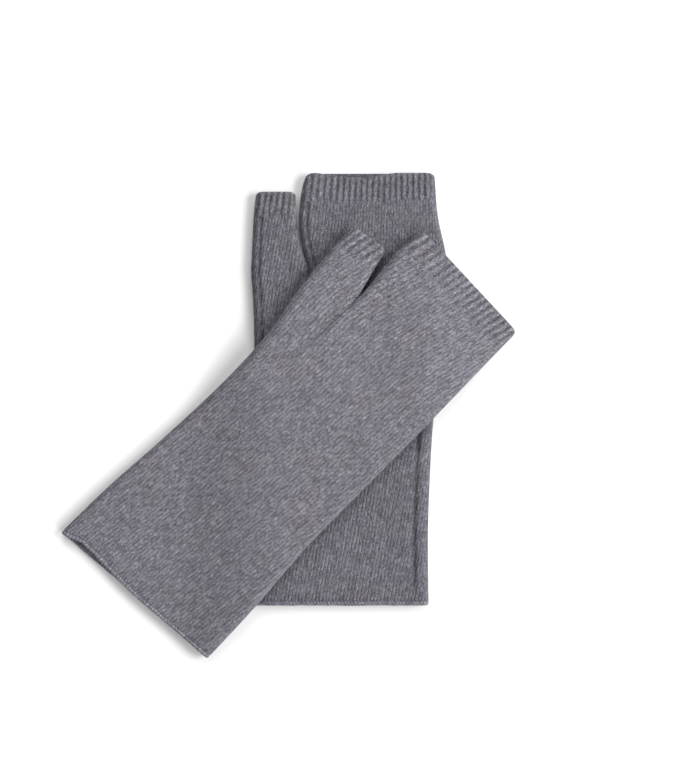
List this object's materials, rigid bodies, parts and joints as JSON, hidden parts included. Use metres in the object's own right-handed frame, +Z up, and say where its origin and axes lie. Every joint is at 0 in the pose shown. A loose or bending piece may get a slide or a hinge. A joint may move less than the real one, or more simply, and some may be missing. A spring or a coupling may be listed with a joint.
{
  "type": "pair of fingerless gloves",
  "caption": "Pair of fine-knit fingerless gloves laid flat and crossed: open rib at the fingers, ribbed thumb sleeve, side seams and a rolled wrist edge.",
  "frame": {"origin": "on the floor, under the middle of the crossed pair", "axes": "+X and +Y lie in the floor, +Y along the lower glove from its wrist edge to its fingers, and +Z up through the pile"},
  "size_m": [0.2448, 0.2604, 0.0158],
  "materials": {
    "stockinette": "matte heathered wool and cashmere stockinette",
    "rib_knit": "matte heathered 1x1 rib",
    "rolled_edge": "matte heathered purl side, curled",
    "linking_yarn": "matte linked yarn"
  },
  "bodies": {
    "lower_glove": {"lower_back_panel": "stockinette", "lower_palm_panel": "stockinette", "lower_finger_rib_back": "rib_knit", "lower_finger_rib_palm": "rib_knit", "lower_wrist_roll_back": "rolled_edge", "lower_wrist_roll_palm": "rolled_edge", "lower_outer_side_seam": "linking_yarn", "lower_thumb_side_seam": "linking_yarn", "lower_index_side_seam": "linking_yarn"},
    "lower_thumb": {"lower_thumb_back": "stockinette", "lower_thumb_palm": "stockinette", "lower_thumb_rib_back": "rib_knit", "lower_thumb_rib_palm": "rib_knit", "lower_thumb_outer_seam": "linking_yarn", "lower_thumb_inner_seam": "linking_yarn"},
    "upper_glove": {"upper_back_panel": "stockinette", "upper_palm_panel": "stockinette", "upper_finger_rib_back": "rib_knit", "upper_finger_rib_palm": "rib_knit", "upper_wrist_roll_back": "rolled_edge", "upper_wrist_roll_palm": "rolled_edge", "upper_outer_side_seam": "linking_yarn", "upper_thumb_side_seam": "linking_yarn", "upper_index_side_seam": "linking_yarn"},
    "upper_thumb": {"upper_thumb_back": "stockinette", "upper_thumb_palm": "stockinette", "upper_thumb_rib_back": "rib_knit", "upper_thumb_rib_palm": "rib_knit", "upper_thumb_outer_seam": "linking_yarn", "upper_thumb_inner_seam": "linking_yarn"}
  },
  "joints": [
    {"name": "upper_lift_off", "type": "slide", "parent": "lower_glove", "child": "upper_glove", "axis": [0, 0, 1], "range_m": [0, 0.06]},
    {"name": "lower_thumb_fold", "type": "hinge", "parent": "lower_glove", "child": "lower_thumb", "pos_m": [-0.00525, 0.0781, 0.0078], "axis": [1, 0, 0], "range_deg": [0, 45]},
    {"name": "upper_thumb_fold", "type": "hinge", "parent": "upper_glove", "child": "upper_thumb", "pos_m": [0.02286, 0.06852, 0.0158], "axis": [0.7905, -0.6125, 0], "range_deg": [0, 45]}
  ]
}
